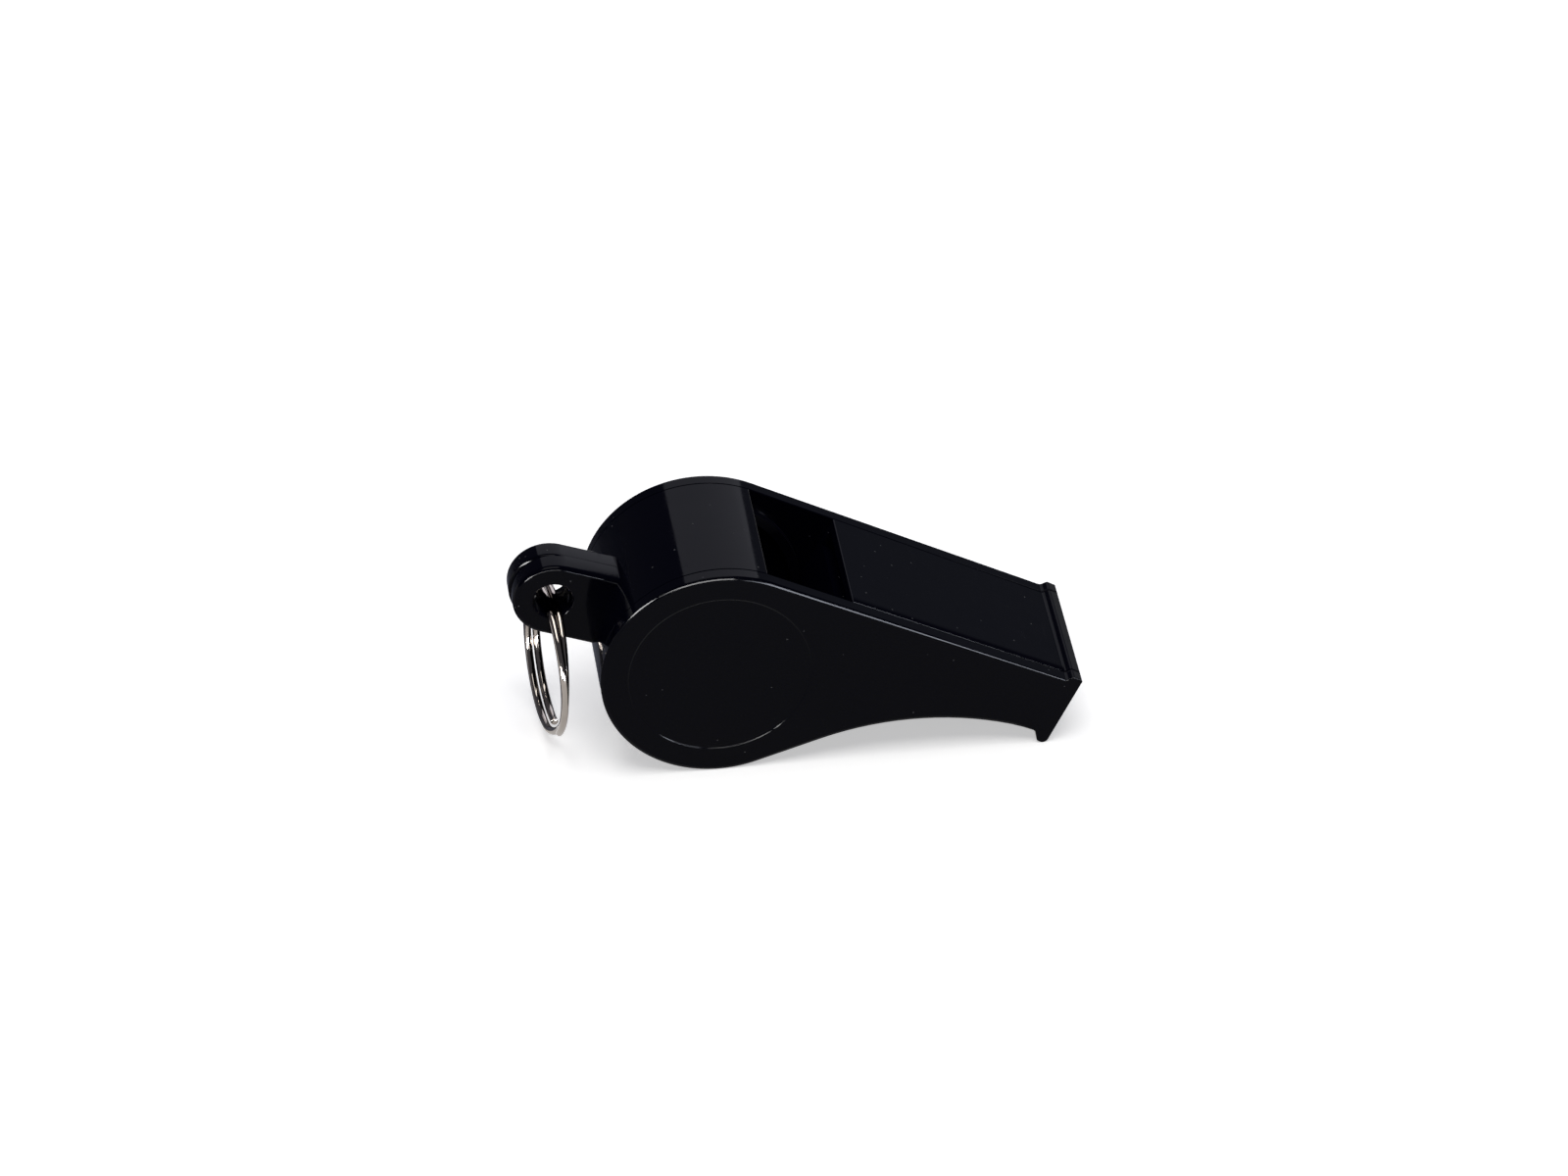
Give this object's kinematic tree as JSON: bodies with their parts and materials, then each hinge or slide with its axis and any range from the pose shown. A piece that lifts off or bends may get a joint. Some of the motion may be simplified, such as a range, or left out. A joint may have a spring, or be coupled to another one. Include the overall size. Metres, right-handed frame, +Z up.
{
  "type": "police whistle",
  "caption": "Moulded plastic pea whistle: a round drum with a sound window and a flat tapering mouthpiece, a loose cork pea inside, and a steel split ring hung from a lug at the back.",
  "frame": {"origin": "middle of the whistle's length and width, on the table that it stands on", "axes": "+Z up, +X towards the mouth, Y across the whistle along the drum's axis, with the left side plate at -Y"},
  "size_m": [0.0578, 0.0182, 0.0243],
  "materials": {
    "body_plastic": "glossy black moulding",
    "left_plate_plastic": "glossy black moulding",
    "right_plate_plastic": "glossy black moulding",
    "cork": "bare cork",
    "ring_steel": "bright nickel-plated wire"
  },
  "bodies": {
    "whistle": {"whistle_body": "body_plastic", "left_side_plate": "left_plate_plastic", "right_side_plate": "right_plate_plastic"},
    "pea": {"pea": "cork"},
    "split_ring": {"split_ring": "ring_steel"}
  },
  "joints": [
    {"name": "pea_orbit", "type": "hinge", "parent": "whistle", "child": "pea", "pos_m": [-0.00855, 0, 0.01215], "axis": [0, 1, 0], "continuous": true},
    {"name": "ring_swing", "type": "hinge", "parent": "whistle", "child": "split_ring", "pos_m": [-0.02472, 0, 0.01728], "axis": [0, 1, 0], "range_deg": [-14, 228]}
  ]
}
